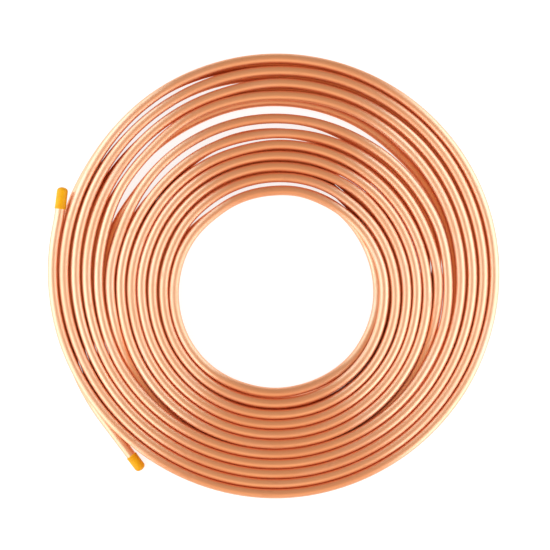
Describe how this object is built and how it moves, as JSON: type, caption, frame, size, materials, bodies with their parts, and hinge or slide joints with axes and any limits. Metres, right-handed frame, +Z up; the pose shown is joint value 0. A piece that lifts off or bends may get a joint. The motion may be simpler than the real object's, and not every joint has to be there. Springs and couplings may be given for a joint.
{
  "type": "copper tube coil",
  "caption": "Flat coil of bare soft copper tube, wound in layers about an open middle, with a push-on plastic cap on each loose end.",
  "frame": {"origin": "middle of the whole coil's outline, on the floor that it lies on", "axes": "+Z up along the coil's winding axis; -Y is where the turns lie close together and +Y where they fan out; -X is where the upper loose end lies; the coil's bore sits about 10 mm towards -Y of the origin"},
  "size_m": [0.2904, 0.2854, 0.0129],
  "materials": {
    "copper": null,
    "cap_plastic": "soft yellow plastic with a satin sheen"
  },
  "bodies": {
    "root": {"copper_coil": "copper", "end_cap_upper": "cap_plastic", "end_cap_lower": "cap_plastic"}
  },
  "joints": []
}
